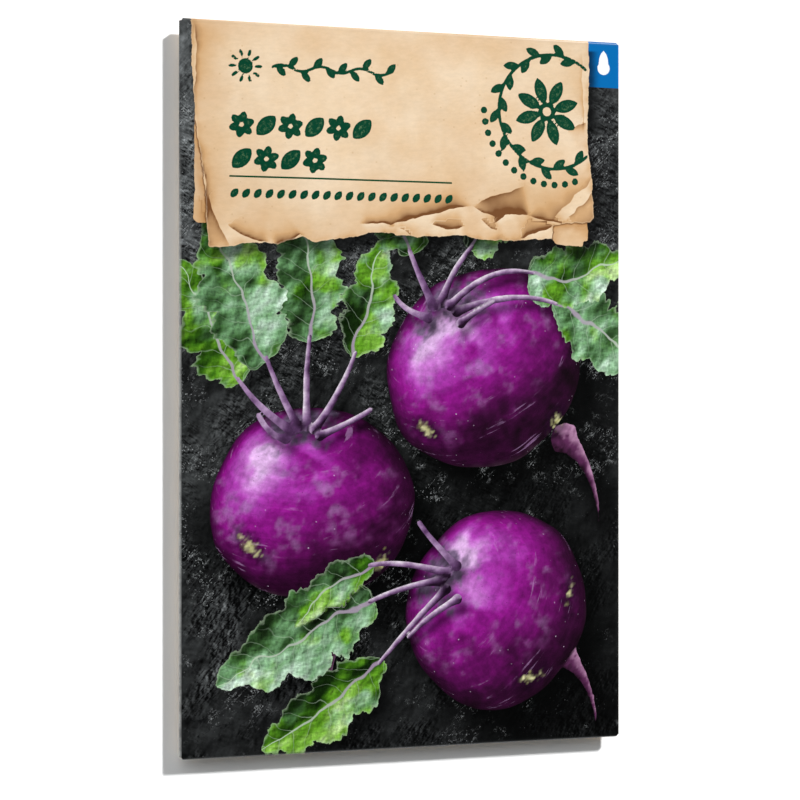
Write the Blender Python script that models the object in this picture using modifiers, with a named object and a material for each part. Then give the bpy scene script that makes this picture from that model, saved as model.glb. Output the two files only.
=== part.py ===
"""A sealed paper seed packet lying on its back, printed face up, with the seeds inside it.

One sheet of paper makes the whole envelope. Four wings fold under the front panel: a narrow glue
flap on the right, the full back panel from the left, and then the bottom and top flaps, which
close over the back panel. Every layer is one paper thickness and a thin air gap below the last.
X runs across the packet, Y from its foot to its top edge, and Z up from the surface it lies on.
"""
import math
import random

import bmesh
import bpy

MM = 0.001

# Closed packet
WIDTH = 90 * MM
LENGTH = 140 * MM
EDGE_HEIGHT = 3.0 * MM          # middle of the front sheet along the folded edges
PAPER = 0.18 * MM
LAYER_GAP = 0.12 * MM           # air between two folded layers
PITCH = PAPER + LAYER_GAP

# Filled shape
FRONT_SWELL = 2.0 * MM          # rise of the front panel over its edges
SWELL_POWER = 1.6
LOW_FILL = 0.25                 # how far the filling has slid towards the foot
FLAT_FILL = 0.8                 # where the back is this full it lies flat on the surface

# Wings: depth from the fold to the free edge, and how far each end of that edge is drawn in
GLUE_FLAP_DEPTH = 10 * MM
GLUE_FLAP_TAPER = 6 * MM
BOTTOM_FLAP_DEPTH = 12 * MM
TOP_FLAP_DEPTH = 18 * MM
END_FLAP_INSET = 1.0 * MM
END_FLAP_TAPER = 5 * MM
BACK_SIDE_GAP = 0.6 * MM        # between the back panel's free edge and the right fold
BACK_END_GAP = 0.15 * MM        # between the back panel and the top and bottom folds

# Mesh of the sheet
COLUMNS = 16
ROWS = 24
FOLD_STEPS = 4
CELL = 6 * MM                   # length of a cell along a wing's depth
SHARP_OVER = math.radians(35)

# Seeds
SEED_COUNT = 38                 # lying on the back panel
TOP_SEED_COUNT = 8              # lying on the others
SEED_RADIUS = 1.0 * MM
SEED_SPREAD = 0.08              # share by which a seed is larger or smaller
SEED_SINK = 0.84                # distance of a seed from the one it leans on, in both radii
SEED_APART = 1.02               # least distance from every other seed, in both radii
TOP_SEED_LEAN = 0.6             # half of the widest gap that a top seed bridges, in its reach
SEED_TURN = (0.7, 1.3, 2.1)     # radians that each seed is turned further than the last
HEAP_CENTRE = (-3 * MM, -24 * MM)
HEAP_REACH = (14 * MM, 9 * MM)
CLEARANCE = 0.3 * MM
SEED_DRAW = 11

INK_SLATE = (0.036, 0.037, 0.041)
SEED_BROWN = (0.085, 0.035, 0.022)

GLUE_FOLD = PITCH / 2
BACK_FOLD = PITCH
END_FOLD = 1.5 * PITCH
LEFT = -WIDTH / 2 + PAPER / 2 + BACK_FOLD
RIGHT = WIDTH / 2 - PAPER / 2 - GLUE_FOLD
TOP = LENGTH / 2 - PAPER / 2 - END_FOLD
BOTTOM = -TOP
MIDDLE = (LEFT + RIGHT) / 2
BACK_DROP = EDGE_HEIGHT - 2 * PITCH - PAPER / 2


def clear_scene():
    for obj in list(bpy.data.objects):
        bpy.data.objects.remove(obj, do_unlink=True)


def material(name, colour, roughness):
    made = bpy.data.materials.new(name)
    made.use_nodes = True
    shader = made.node_tree.nodes["Principled BSDF"]
    shader.inputs["Base Color"].default_value = (*colour, 1)
    shader.inputs["Roughness"].default_value = roughness
    shader.inputs["Metallic"].default_value = 0
    return made


def fullness(x, y):
    """0 along the folded edges and 1 where the packet is fullest, a little below its middle."""
    u = min(1, abs(x) / (WIDTH / 2))
    v = max(-1, min(1, y / (LENGTH / 2)))
    return min(1, (1 - u * u) * (1 - v * v) * (1 - LOW_FILL * v))


def front_height(x, y):
    return EDGE_HEIGHT + FRONT_SWELL * (1 - (1 - fullness(x, y)) ** SWELL_POWER)


def back_height(x, y):
    """The back sinks from the edges to a flat spot that lies on the surface."""
    settled = min(1, fullness(x, y) / FLAT_FILL)
    return EDGE_HEIGHT - 2 * PITCH - BACK_DROP * (1 - (1 - settled) ** 2)


def front_panel(bm):
    bmesh.ops.create_grid(bm, x_segments=COLUMNS, y_segments=ROWS, size=0.5)
    for vert in bm.verts:
        vert.co.x = MIDDLE + vert.co.x * (RIGHT - LEFT)
        vert.co.y = vert.co.y * (TOP - BOTTOM)
        vert.co.z = front_height(vert.co.x, vert.co.y)


def border(bm, axis, place):
    """The edges of the front panel along one of its four sides."""
    close = PAPER / 10
    return [e for e in bm.edges if e.is_boundary and all(abs(v.co[axis] - place) < close for v in e.verts)]


def fold_wing(edges, bm, axis, outward, fold, depth, ends, layer):
    """Turns the sheet under along a fold and lays the wing under the front panel.

    axis is the direction across the fold, 0 for X or 1 for Y, and outward its sign. ends gives
    the wing's two ends along the fold, at the fold and at the free edge. layer is the number of
    layers between the wing and the back panel, counted upwards.
    """
    along = 1 - axis
    hinge = sorted({v for e in edges for v in e.verts}, key=lambda v: v.co[along])
    line, low, high = hinge[0].co[axis], hinge[0].co[along], hinge[-1].co[along]
    shares = [(v.co[along] - low) / (high - low) for v in hinge]
    cells = round(depth / CELL)
    turns = [math.pi * (i + 1) / FOLD_STEPS for i in range(FOLD_STEPS)]
    runs = [depth * (i + 1) / cells for i in range(cells)]
    for turn, run in [(turn, 0) for turn in turns] + [(math.pi, run) for run in runs]:
        grown = bmesh.ops.extrude_edge_only(bm, edges=edges)["geom"]
        edges = [g for g in grown if isinstance(g, bmesh.types.BMEdge)]
        start = low + (ends[0][0] - low) * turn / math.pi + (ends[1][0] - ends[0][0]) * run / depth
        stop = high + (ends[0][1] - high) * turn / math.pi + (ends[1][1] - ends[0][1]) * run / depth
        new = sorted((g for g in grown if isinstance(g, bmesh.types.BMVert)), key=lambda v: v.co[along])
        for vert, share in zip(new, shares, strict=True):
            vert.co[axis] = line + outward * (fold * math.sin(turn) - run)
            vert.co[along] = start + (stop - start) * share
            if run:
                vert.co.z = back_height(vert.co.x, vert.co.y) + layer * PITCH
            else:
                vert.co.z = EDGE_HEIGHT - fold * (1 - math.cos(turn))


def drawn_in(low, high, inset, taper):
    """A wing's ends at its fold and at its free edge."""
    return (low + inset, high - inset), (low + inset + taper, high - inset - taper)


def envelope(parts):
    mesh = bpy.data.meshes.new("envelope")
    bm = bmesh.new()
    front_panel(bm)
    sides = {
        "right": border(bm, 0, RIGHT),
        "left": border(bm, 0, LEFT),
        "bottom": border(bm, 1, BOTTOM),
        "top": border(bm, 1, TOP),
    }
    fold_wing(sides["right"], bm, 0, 1, GLUE_FOLD, GLUE_FLAP_DEPTH,
              drawn_in(BOTTOM, TOP, BACK_END_GAP, GLUE_FLAP_TAPER), 1)
    fold_wing(sides["left"], bm, 0, -1, BACK_FOLD, RIGHT - LEFT - BACK_SIDE_GAP,
              drawn_in(BOTTOM, TOP, BACK_END_GAP, 0), 0)
    fold_wing(sides["bottom"], bm, 1, -1, END_FOLD, BOTTOM_FLAP_DEPTH,
              drawn_in(LEFT, RIGHT, END_FLAP_INSET, END_FLAP_TAPER), -1)
    fold_wing(sides["top"], bm, 1, 1, END_FOLD, TOP_FLAP_DEPTH,
              drawn_in(LEFT, RIGHT, END_FLAP_INSET, END_FLAP_TAPER), -1)
    bmesh.ops.recalc_face_normals(bm, faces=bm.faces)
    bm.to_mesh(mesh)
    bm.free()
    mesh.materials.append(material("printed paper", INK_SLATE, 0.55))
    obj = bpy.data.objects.new("envelope", mesh)
    parts.objects.link(obj)
    shell = obj.modifiers.new("paper", "SOLIDIFY")
    shell.thickness = PAPER
    shell.offset = 0
    mesh.shade_smooth()
    mesh.set_sharp_from_angle(angle=SHARP_OVER)


def heap_places():
    """Where the seeds lie: each leans on one that lay there before it, and a few lie on top."""
    draw = random.Random(SEED_DRAW)
    floor = PAPER / 2 + CLEARANCE

    def resting(x, y, radius):
        return x, y, back_height(x, y) + floor + radius, radius

    def clear(x, y, radius, others):
        return all(math.hypot(x - s[0], y - s[1]) > SEED_APART * (radius + s[3]) for s in others)

    lower = [resting(*HEAP_CENTRE, SEED_RADIUS)]
    while len(lower) < SEED_COUNT:
        radius = SEED_RADIUS * (1 + SEED_SPREAD * draw.uniform(-1, 1))
        lean = draw.choice(lower)
        turn = draw.uniform(0, 2 * math.pi)
        step = SEED_SINK * (radius + lean[3])
        x, y = lean[0] + step * math.cos(turn), lean[1] + step * math.sin(turn)
        out = math.hypot((x - HEAP_CENTRE[0]) / HEAP_REACH[0], (y - HEAP_CENTRE[1]) / HEAP_REACH[1])
        if out < 1 and clear(x, y, radius, [s for s in lower if s is not lean]):
            lower.append(resting(x, y, radius))
    upper = []
    reach = SEED_SINK * 2 * SEED_RADIUS
    while len(upper) < TOP_SEED_COUNT:
        a, b = draw.sample(lower, 2)
        half = math.hypot(a[0] - b[0], a[1] - b[1]) / 2
        x, y = (a[0] + b[0]) / 2, (a[1] + b[1]) / 2
        if half < reach * TOP_SEED_LEAN and clear(x, y, SEED_RADIUS, upper):
            upper.append((x, y, (a[2] + b[2]) / 2 + math.sqrt(reach ** 2 - half ** 2), SEED_RADIUS))
    return lower + upper


def seed(place, number, finish):
    x, y, z, radius = place
    turned = [number * turn for turn in SEED_TURN]
    bpy.ops.mesh.primitive_ico_sphere_add(subdivisions=2, radius=radius, location=(x, y, z), rotation=turned)
    made = bpy.context.object
    made.name = f"seed_{number}"
    made.data.materials.append(finish)
    return made


def seed_heap(parts):
    """All the seeds as one body, since they lie still in the packet."""
    finish = material("dry seed coat", SEED_BROWN, 0.5)
    others = bpy.data.collections.new("loose seeds")
    bpy.context.scene.collection.children.link(others)
    first, *rest = [seed(place, i, finish) for i, place in enumerate(heap_places())]
    for obj in [first, *rest]:
        for holder in obj.users_collection:
            holder.objects.unlink(obj)
        (parts if obj is first else others).objects.link(obj)
    join = first.modifiers.new("join", "BOOLEAN")
    join.operation = "UNION"
    join.operand_type = "COLLECTION"
    join.collection = others
    join.solver = "EXACT"
    evaluated = first.evaluated_get(bpy.context.evaluated_depsgraph_get())
    joined = bpy.data.meshes.new_from_object(evaluated)
    joined.shade_smooth()
    first.modifiers.clear()
    first.data = joined
    first.name = joined.name = "seeds"
    for obj in rest:
        bpy.data.objects.remove(obj, do_unlink=True)
    bpy.data.collections.remove(others)


def main():
    clear_scene()
    parts = bpy.data.collections.new("seed packet")
    bpy.context.scene.collection.children.link(parts)
    envelope(parts)
    seed_heap(parts)


main()
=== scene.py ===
# %% [markdown]
# # A paper seed packet, lying on its back
#
# The real thing is one sheet of thin coated paper, printed flat, cut, folded round a few seeds and
# glued shut. This script follows the same order: the sheet is laid out flat, the print is worked
# out on it, and then it is folded. The solids already say how large it is and where its folds
# are, so they are loaded first and never moved.

# %% Load the frame
import math

import bmesh
import bpy
import numpy as np
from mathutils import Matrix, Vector


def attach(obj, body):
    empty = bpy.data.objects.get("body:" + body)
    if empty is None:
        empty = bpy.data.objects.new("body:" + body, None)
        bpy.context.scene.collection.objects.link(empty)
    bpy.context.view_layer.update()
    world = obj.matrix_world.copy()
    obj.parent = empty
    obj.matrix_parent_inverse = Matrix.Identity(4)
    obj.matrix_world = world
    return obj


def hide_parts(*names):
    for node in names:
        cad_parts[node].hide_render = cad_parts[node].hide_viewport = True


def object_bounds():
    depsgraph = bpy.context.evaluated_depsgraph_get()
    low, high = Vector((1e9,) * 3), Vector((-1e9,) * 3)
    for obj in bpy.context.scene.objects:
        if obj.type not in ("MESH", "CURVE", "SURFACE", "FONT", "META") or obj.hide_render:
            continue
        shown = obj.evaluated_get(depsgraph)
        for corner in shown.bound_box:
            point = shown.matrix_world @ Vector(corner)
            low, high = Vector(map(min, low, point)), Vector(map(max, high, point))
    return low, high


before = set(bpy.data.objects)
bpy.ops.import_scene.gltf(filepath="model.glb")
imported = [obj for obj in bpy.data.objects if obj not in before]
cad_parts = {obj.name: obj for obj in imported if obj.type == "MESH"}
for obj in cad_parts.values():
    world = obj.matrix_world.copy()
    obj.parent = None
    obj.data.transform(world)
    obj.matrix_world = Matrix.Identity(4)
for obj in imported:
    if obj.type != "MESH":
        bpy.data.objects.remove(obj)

cad_low, cad_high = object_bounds()
MM = 0.001
print("packed size in mm:", [round(v / MM, 2) for v in cad_high - cad_low])

# %% [markdown]
# ## Two small helpers
#
# Colours are picked as sRGB hex values, the way a paint program shows them, but shaders work in
# linear light, so one function turns the first into the second. Another adds a node to a material
# with its settings and its links, which keeps each finish short enough to read.

# %% Colour and node helpers
def linear(hex_colour):
    parts = [int(hex_colour[i:i + 2], 16) / 255 for i in (1, 3, 5)]
    return tuple(p / 12.92 if p <= 0.04045 else ((p + 0.055) / 1.055) ** 2.4 for p in parts)


def add(tree, kind, links=None, out=0, **settings):
    """A new node. Its settings are its own properties. links fills its inputs: a socket is joined,
    and a value or a hex colour is set. Gives back the output called out, or the first."""
    node = tree.nodes.new("ShaderNode" + kind)
    for name, value in settings.items():
        setattr(node, name, value)
    for place, value in (links or {}).items():
        socket = node.inputs[place]
        if isinstance(value, bpy.types.NodeSocket):
            tree.links.new(value, socket)
            continue
        if isinstance(value, str):
            value = linear(value)
        socket.default_value = (*value, 1) if socket.type == "RGBA" and len(value) == 3 else value
    return node.outputs[out] if node.outputs else None


def new_material(name):
    made = bpy.data.materials.new(name)
    made.use_nodes = True
    made.node_tree.nodes.clear()
    return made, made.node_tree


# settings that many nodes share: one colour over another, their product, a product, a soft step
OVER = {"out": 2, "data_type": "RGBA"}
TIMES = {**OVER, "blend_type": "MULTIPLY"}
PRODUCT = {"operation": "MULTIPLY"}
SMOOTH = {"interpolation_type": "SMOOTHSTEP"}
print("kraft brown in linear light:", [round(c, 3) for c in linear("#ecd1b1")])

# %% [markdown]
# ## The sheet, laid out flat
#
# A seed packet is cut from one sheet: the front, a glue flap on its right, the whole back on its
# left, and a flap below and above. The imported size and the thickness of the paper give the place
# of every fold. All flat places are in millimetres from the middle of the front.

# %% Sizes of the sheet
WIDTH, LENGTH = [round(v / MM, 3) for v in (cad_high - cad_low).xy]
PAPER = 0.18                    # paper, and the air between two folded layers
LAYER_GAP = 0.12
PITCH = PAPER + LAYER_GAP
EDGE_HEIGHT = 3.0               # the middle of the front's paper at the folds, above the floor
FRONT_SWELL = 2.0               # how far the front rises over the seeds, and how soon
SWELL_POWER = 1.6
LOW_FILL = 0.25                 # share by which the foot is fuller than the middle
FLAT_FILL = 0.8                 # fullness from which the back lies on the floor

GLUE_FOLD, BACK_FOLD, END_FOLD = PITCH / 2, PITCH, 1.5 * PITCH
LEFT = -WIDTH / 2 + PAPER / 2 + BACK_FOLD
RIGHT = WIDTH / 2 - PAPER / 2 - GLUE_FOLD
TOP = LENGTH / 2 - PAPER / 2 - END_FOLD
BOTTOM = -TOP
SIDES = {(0, 1): RIGHT, (0, -1): LEFT, (1, 1): TOP, (1, -1): BOTTOM}    # by axis and sign

CELL = 0.45                     # mm between two points of the front
COLUMNS = round((RIGHT - LEFT) / CELL)
ROWS = round((TOP - BOTTOM) / CELL)
FOLD_STEPS = 6

# side: (axis across the fold, outward sign, fold radius, depth, inset and taper of its ends, cells)
WINGS = {
    "glue flap": (0, 1, GLUE_FOLD, 10, 0.15, 6, 2),
    "back": (0, -1, BACK_FOLD, RIGHT - LEFT - 0.6, 0.15, 0, 15),
    "bottom flap": (1, -1, END_FOLD, 12, 1.0, 5, 2),
    "top flap": (1, 1, END_FOLD, 18, 1.0, 5, 3),
}
PRINTED_TURN = FOLD_STEPS - 1   # the front's print runs round the fold for this many steps
print(f"front of {COLUMNS} x {ROWS} cells")

# %% [markdown]
# Four extruded edges of a grid give that outline. The front gets a fine mesh, because the print is
# stored on its points, and the wings are fine only along their folds.

# %% Lay out the sheet
def flat_sheet():
    bm = bmesh.new()
    on_back = bm.faces.layers.int.new("on_back")
    bmesh.ops.create_grid(bm, x_segments=COLUMNS, y_segments=ROWS, size=0.5)
    for vert in bm.verts:
        vert.co.x = (LEFT + RIGHT) / 2 + vert.co.x * (RIGHT - LEFT)
        vert.co.y *= TOP - BOTTOM
    rims = [e for e in bm.edges if e.is_boundary]
    for axis, outward, fold, depth, inset, taper, cells in WINGS.values():
        along = 1 - axis
        place = SIDES[axis, outward]
        edges = [e for e in rims if all(abs(v.co[axis] - place) < 0.01 for v in e.verts)]
        half = max(v.co[along] for e in edges for v in e.verts)
        middle = (half + min(v.co[along] for e in edges for v in e.verts)) / 2
        half -= middle
        curl = math.pi * fold
        steps = [curl * (i + 1) / FOLD_STEPS for i in range(FOLD_STEPS)]
        steps += [curl + depth * (i + 1) / cells for i in range(cells)]
        reach = 1
        for number, step in enumerate(steps):
            grown = bmesh.ops.extrude_edge_only(bm, edges=edges)["geom"]
            edges = [g for g in grown if isinstance(g, bmesh.types.BMEdge)]
            drawn = inset * min(1, step / curl) + taper * max(0, step - curl) / depth
            share, reach = (half - drawn) / half / reach, (half - drawn) / half
            for vert in (g for g in grown if isinstance(g, bmesh.types.BMVert)):
                vert.co[axis] = place + outward * step
                vert.co[along] = middle + (vert.co[along] - middle) * share
            for face in (g for g in grown if isinstance(g, bmesh.types.BMFace)):
                face[on_back] = number >= PRINTED_TURN
    bmesh.ops.recalc_face_normals(bm, faces=bm.faces)
    if sum(f.normal.z for f in bm.faces) < 0:
        bmesh.ops.reverse_faces(bm, faces=bm.faces)
    mesh = bpy.data.meshes.new("envelope_sheet")
    bm.to_mesh(mesh)
    bm.free()
    return mesh


def read(items, name, kind=np.int32, parts=1):
    """One property of many items as an array."""
    values = np.empty(len(items) * parts, kind)
    items.foreach_get(name, values)
    return values if parts == 1 else values.reshape(-1, parts)


sheet = flat_sheet()
places = read(sheet.vertices, "co", np.float32, 3)
print(len(sheet.vertices), "points in the flat sheet,", len(sheet.polygons), "faces")

# %% [markdown]
# ## A canvas for the print
#
# The front is offset printed: vegetables on slate, and a torn piece of kraft paper that holds
# ornaments in green ink. An image could hold this, but here every shape is worked out by a rule.
# Each shape gives its distance to its own outline at every point of the front. A shader that cuts
# at distance zero then draws a sharp outline, even where the mesh is coarse, which is how
# many games draw letters. Colours inside a shape change slowly, so they are stored as they are.

# %% Canvas and noise
xs = np.linspace(LEFT, RIGHT, COLUMNS + 1)
ys = np.linspace(BOTTOM, TOP, ROWS + 1)
X, Y = np.meshgrid(xs, ys)
FAR = 50.0
fields = {}                     # what the shader will read, by name


def cloud(size, seed, smooth=2.4):
    """Seeded noise about 0 with spots of about size mm, and finer ones that fade with smooth."""
    draw = np.random.default_rng(seed).standard_normal(X.shape)
    waves = np.hypot(*np.meshgrid(*[np.fft.fftfreq(len(line), line[1] - line[0]) for line in (xs, ys)]))
    field = np.fft.ifft2(np.fft.fft2(draw) / (1 + (waves * size) ** 2) ** (smooth / 2)).real
    field -= field.mean()
    return 0.3 * field / field.std()


print("canvas of", X.shape, "points")

# %% [markdown]
# A printed photograph is made of soft steps of colour. A few helpers read colours from a ramp,
# soften a step, slide a shape to make its shadow, and mix two pictures.

# %% Colours and shadows on the canvas
def ramp(values, stops):
    """Colours read from (value, hex) stops, in linear light."""
    at = [s[0] for s in stops]
    hues = np.array([linear(s[1]) for s in stops])
    return np.stack([np.interp(values, at, hues[:, i]) for i in range(3)], -1)


def soft(values, low, high):
    t = np.clip((values - low) / (high - low), 0, 1)
    return t * t * (3 - 2 * t)


def moved(field, right, up):
    """The field as it is right mm to the left of each point and up mm below it."""
    return np.roll(field, (round(up / CELL), round(right / CELL)), (0, 1))


def light_left(edge, right, up, low, high, depth):
    """1 in the light, and down to 1 - depth in the soft shadow that a shape throws right and up mm."""
    return 1 - depth * soft(-moved(edge, right, up), low, high)


def blend(below, above, share):
    return below + (above - below) * np.asarray(share)[..., None]


print("a quarter of the way up a soft step:", soft(0.25, 0, 1))

# %% [markdown]
# The picture is drawn in layers, from the lowest leaf up. A layer keeps the outline, the colours
# and the surface places of all that was drawn on it, because the shader needs these three.

# %% Layers of the picture
class Layer:
    """One printed layer: how far each point is from its outline, its colour and its surface place."""

    def __init__(self):
        self.edge = np.full(X.shape, FAR)
        self.colour = np.zeros((*X.shape, 3))
        self.place = np.zeros((*X.shape, 3))

    def draw(self, edge, colour, place=None, shadow=0.0):
        """Lays a shape over the layer. Outside every shape a point takes the nearest one's colour.
        shadow darkens what lies under the new shape's lower right."""
        if shadow:
            self.colour = self.colour * light_left(edge, 0.8, -1.0, -1.2, 0.6, shadow)[..., None]
        over = np.where(self.edge > 0, edge < self.edge, np.clip(0.5 - edge / CELL, 0, 1))
        self.colour = blend(self.colour, colour, over)
        if place is not None:
            self.place = np.where(over[..., None] > 0.5, place, self.place)
        self.edge = np.minimum(self.edge, edge)


roots, low_leaves, high_leaves, stems = [Layer() for _ in range(4)]
print("empty layers, all", roots.edge.max(), "mm from any shape")

# %% [markdown]
# ## Curves on the canvas
#
# Stems, tap roots, midribs and creases all follow a bent line. For each point of the canvas this
# finds the nearest place on such a line: how far along it is, and how far to its left or right.
# Torn outlines and the sun's rays are made of straight lines, where the distance alone will do.

# %% Nearest place on a line
def from_line(x0, y0, x1, y1):
    """The distance to a straight line between two points."""
    run = np.clip(((X - x0) * (x1 - x0) + (Y - y0) * (y1 - y0)) / ((x1 - x0) ** 2 + (y1 - y0) ** 2), 0, 1)
    return np.hypot(X - x0 - run * (x1 - x0), Y - y0 - run * (y1 - y0))


def along_curve(start, bend, end, x=X, y=Y, samples=30):
    """For a line from start to end that bends towards bend: t from 0 to 1, the signed distance to
    its left in mm, and its length."""
    t = np.linspace(0, 1, samples)[:, None]
    line = (1 - t) ** 2 * np.array(start) + 2 * t * (1 - t) * np.array(bend) + t ** 2 * np.array(end)
    steps = np.diff(line, axis=0)
    runs = np.hypot(*steps.T)
    sofar = np.concatenate([[0], np.cumsum(runs)])
    best = np.full(X.shape, 1e9)
    best_t, best_side = np.zeros(X.shape), np.zeros(X.shape)
    for i, (step, run) in enumerate(zip(steps, runs, strict=True)):
        ux, uy = step / run
        dx, dy = x - line[i, 0], y - line[i, 1]
        forward = np.clip(dx * ux + dy * uy, 0, run)
        far = np.hypot(dx - forward * ux, dy - forward * uy)
        near = far < best
        best = np.where(near, far, best)
        best_t = np.where(near, (sofar[i] + forward) / sofar[-1], best_t)
        best_side = np.where(near, np.copysign(far, ux * dy - uy * dx), best_side)
    return best_t, best_side, sofar[-1]


t, side, length = along_curve((-20, 0), (0, 12), (20, 0))
print(f"a bent line of {length:.1f} mm, nearest points within {np.abs(side).min():.2f} mm")

# %% [markdown]
# ## The vegetables
#
# The picture shows purple turnips. Each one is a slightly flattened ball seen from above, so the
# height and the slope of its skin at every point follow from one quadratic. Soft window light from
# the upper left, a pale bloom and darker sides give the photographic look.

# %% Turnips
LIGHT = np.array((-0.50, 0.52, 0.69))
SKIN = ((0.0, "#14040f"), (0.14, "#33082d"), (0.32, "#620d5a"), (0.52, "#8b1784"), (0.70, "#a63ca8"),
        (0.86, "#c57acb"), (1.0, "#dfb2e5"))


def turnip(centre, radius, heading, tilt, squash, seed):
    """A turnip whose crown points along heading, raised towards the viewer by tilt, in degrees."""
    h, up = math.radians(heading), math.radians(tilt)
    axis = np.array((math.cos(h) * math.cos(up), math.sin(h) * math.cos(up), math.sin(up)))
    px, py = X - centre[0] + 1.6 * cloud(30, seed + 1, 3), Y - centre[1] + 1.6 * cloud(30, seed + 2, 3)
    k = 1 / squash ** 2 - 1
    s = px * axis[0] + py * axis[1]
    a = 1 + k * axis[2] ** 2
    b = 2 * k * s * axis[2]
    c = px ** 2 + py ** 2 + k * s ** 2 - radius ** 2
    z = (-b + np.sqrt(np.maximum(b * b - 4 * a * c, 0))) / (2 * a)
    skin = np.stack([px, py, z], -1)
    height = skin @ axis
    slope = skin + k * height[..., None] * axis
    slope /= np.linalg.norm(slope, axis=-1, keepdims=True)
    flat = k * (1 - k * axis[2] ** 2 / a)
    q = px ** 2 + py ** 2 + flat * s ** 2
    rise = 2 * np.hypot(px + flat * s * axis[0], py + flat * s * axis[1]) + 1e-6
    edge = (q - radius ** 2) / rise

    east = np.array((-math.sin(h), math.cos(h), 0))
    north = np.cross(axis, east)
    turn = np.arctan2(skin @ north, skin @ east)
    crown = height / (radius * squash)
    patches, fine = cloud(12, seed + 3), cloud(4, seed + 4, 2)
    ribs = np.cos(7 * turn + 4 * patches) * soft(crown, 0.35, 0.95) * soft(crown, 1.0, 0.9)
    lit = np.clip(slope @ LIGHT, 0, 1)
    bright = 0.09 + 0.58 * lit ** 1.25 + 0.15 * patches + 0.06 * fine + 0.09 * ribs
    bright += 0.26 * lit ** 12 * (0.9 + 0.7 * patches)
    bright *= 0.25 + 0.75 * soft(slope[..., 2], -0.05, 0.65)
    colour = ramp(bright, SKIN)
    bloom = soft(cloud(9, seed + 5, 2) + 0.5 * fine, 0.08, 0.80) * soft(bright, 0.12, 0.5) * 0.33
    colour = blend(colour, linear("#a48fb4"), bloom)
    collar = soft(crown + 0.10 * fine, 0.90, 0.99)
    shade = lit + 0.3 * np.cos(11 * turn + 3 * fine)
    colour = blend(colour, ramp(shade, ((0, "#150c18"), (1, "#75607f"))), collar)
    tail = soft(-crown + 0.25 * patches, 0.55, 1.05) * 0.8
    colour = blend(colour, ramp(bright * 1.3, ((0, "#2a1020"), (1, "#e4cdd6"))), tail)
    own = np.stack([skin @ east + seed * 40, skin @ north, height], -1)
    roots.draw(edge, colour, own)
    return np.array(centre) + axis[:2] * radius * squash


print("a skin of", len(SKIN), "colours, lit from", LIGHT)

# %% [markdown]
# Below each turnip grows a thin root that tapers to nothing, and its skin has small corky scars.
# A root is a bent line of falling width. A scar is an oval with a ragged edge.

# %% Tap roots and scars
def tap_root(start, bend, end, thick, seed):
    """The thin root below a turnip, pale and hairy, that tapers to nothing."""
    t, side, _ = along_curve(start, bend, end)
    wide = thick * (1 - t) ** 1.5 + 1.6 * np.exp(-t * 9) + 0.15
    across = np.clip(side / wide, -1, 1)
    lit = 0.5 + 0.45 * across + 0.25 * cloud(2.5, seed, 2)
    lit += 0.2 * cloud(1.5, seed + 2, 2) - 0.25 * t
    colour = ramp(lit, ((0, "#1e0a18"), (0.5, "#5b2a52"), (1, "#b98aac")))
    roots.draw(np.abs(side) - wide + 0.2 * cloud(1.5, seed + 5, 2), colour)


def scar(x, y, heading, length, width, seed):
    """A pale corky mark on a skin, with a dark rim."""
    c, s = math.cos(math.radians(heading)), math.sin(math.radians(heading))
    u, v = (X - x) * c + (Y - y) * s, -(X - x) * s + (Y - y) * c
    far = np.hypot(u / length, v / width) * width * 0.5 - 0.5 * width + 0.6 * cloud(1.6, seed, 2)
    roots.colour = blend(roots.colour, linear("#210520"), 0.7 * soft(-far, -0.9, -0.1))
    cork = ramp(0.5 + cloud(1.2, seed + 1, 1.5), ((0, "#8c8a52"), (1, "#d9d6a4")))
    roots.colour = blend(roots.colour, cork, soft(-far, -0.05, 0.35))


print("roots and scars are drawn on points", CELL, "mm apart")

# %% [markdown]
# What is drawn later lies on top, so the tap roots come first, then the turnips, then the scars.

# %% Place the turnips
# centre, radius, heading of the crown, its tilt, flattening, seed
TURNIPS = (
    ((15.5, 4.0), 21.0, 122, 32, 0.88, 3),
    ((-19.0, -22.0), 20.0, 98, 30, 0.90, 8),
    ((18.5, -43.5), 19.5, 152, 42, 0.88, 15),
)
tap_root((33, -10), (40, -16), (40.5, -27), 1.5, 21)
tap_root((-17, -40), (-13, -52), (-20, -64), 1.6, 22)
tap_root((33, -53), (39, -58), (40, -67), 1.5, 23)
crowns = [turnip(*row) for row in TURNIPS]
for number, mark in enumerate((
        (31.0, -6.5, 60, 2.0, 0.9), (3.5, -8.0, -35, 1.6, 0.7), (-31.5, -30.0, -50, 2.2, 1.0),
        (-6.0, -33.5, 40, 1.5, 0.7), (26.0, -57.0, 20, 2.2, 0.9), (34.0, -40.0, 80, 1.5, 0.6))):
    scar(*mark, 91 + number)
print("crowns at", [tuple(np.round(pole, 1)) for pole in crowns])

# %% [markdown]
# ## Stems and leaves
#
# A turnip leaf is a long blade on a pale midrib, with toothed lobes and puckered flesh between its
# side veins. Its half width is a formula of the place along the midrib, and the teeth are a saw
# wave on it. The whole blade is warped by noise, as no leaf lies flat, but not where the stem
# meets it. Its veins are left to the shader, which only needs to know where each point is along
# and across the blade.

# %% Stems and leaves
STEM = ((0, "#1e0d20"), (0.3, "#5a3a62"), (0.55, "#9a7aa2"), (0.8, "#c3adc6"), (1, "#e6dce6"))
WAXY = ((0, "#14240f"), (0.25, "#36582f"), (0.5, "#6a9668"), (0.75, "#9bbf9e"), (1, "#c6dccb"))
FRESH = ((0, "#0e2206"), (0.25, "#2f5a10"), (0.5, "#5a9020"), (0.75, "#84b648"), (1, "#bad892"))
VEIN_GAP = 3.6                  # mm between two side veins along the midrib


def slope_light(height):
    """How much brighter a surface gets where it faces the light."""
    gy, gx = np.gradient(height, ys, xs)
    return -(gx * LIGHT[0] + gy * LIGHT[1])


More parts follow.
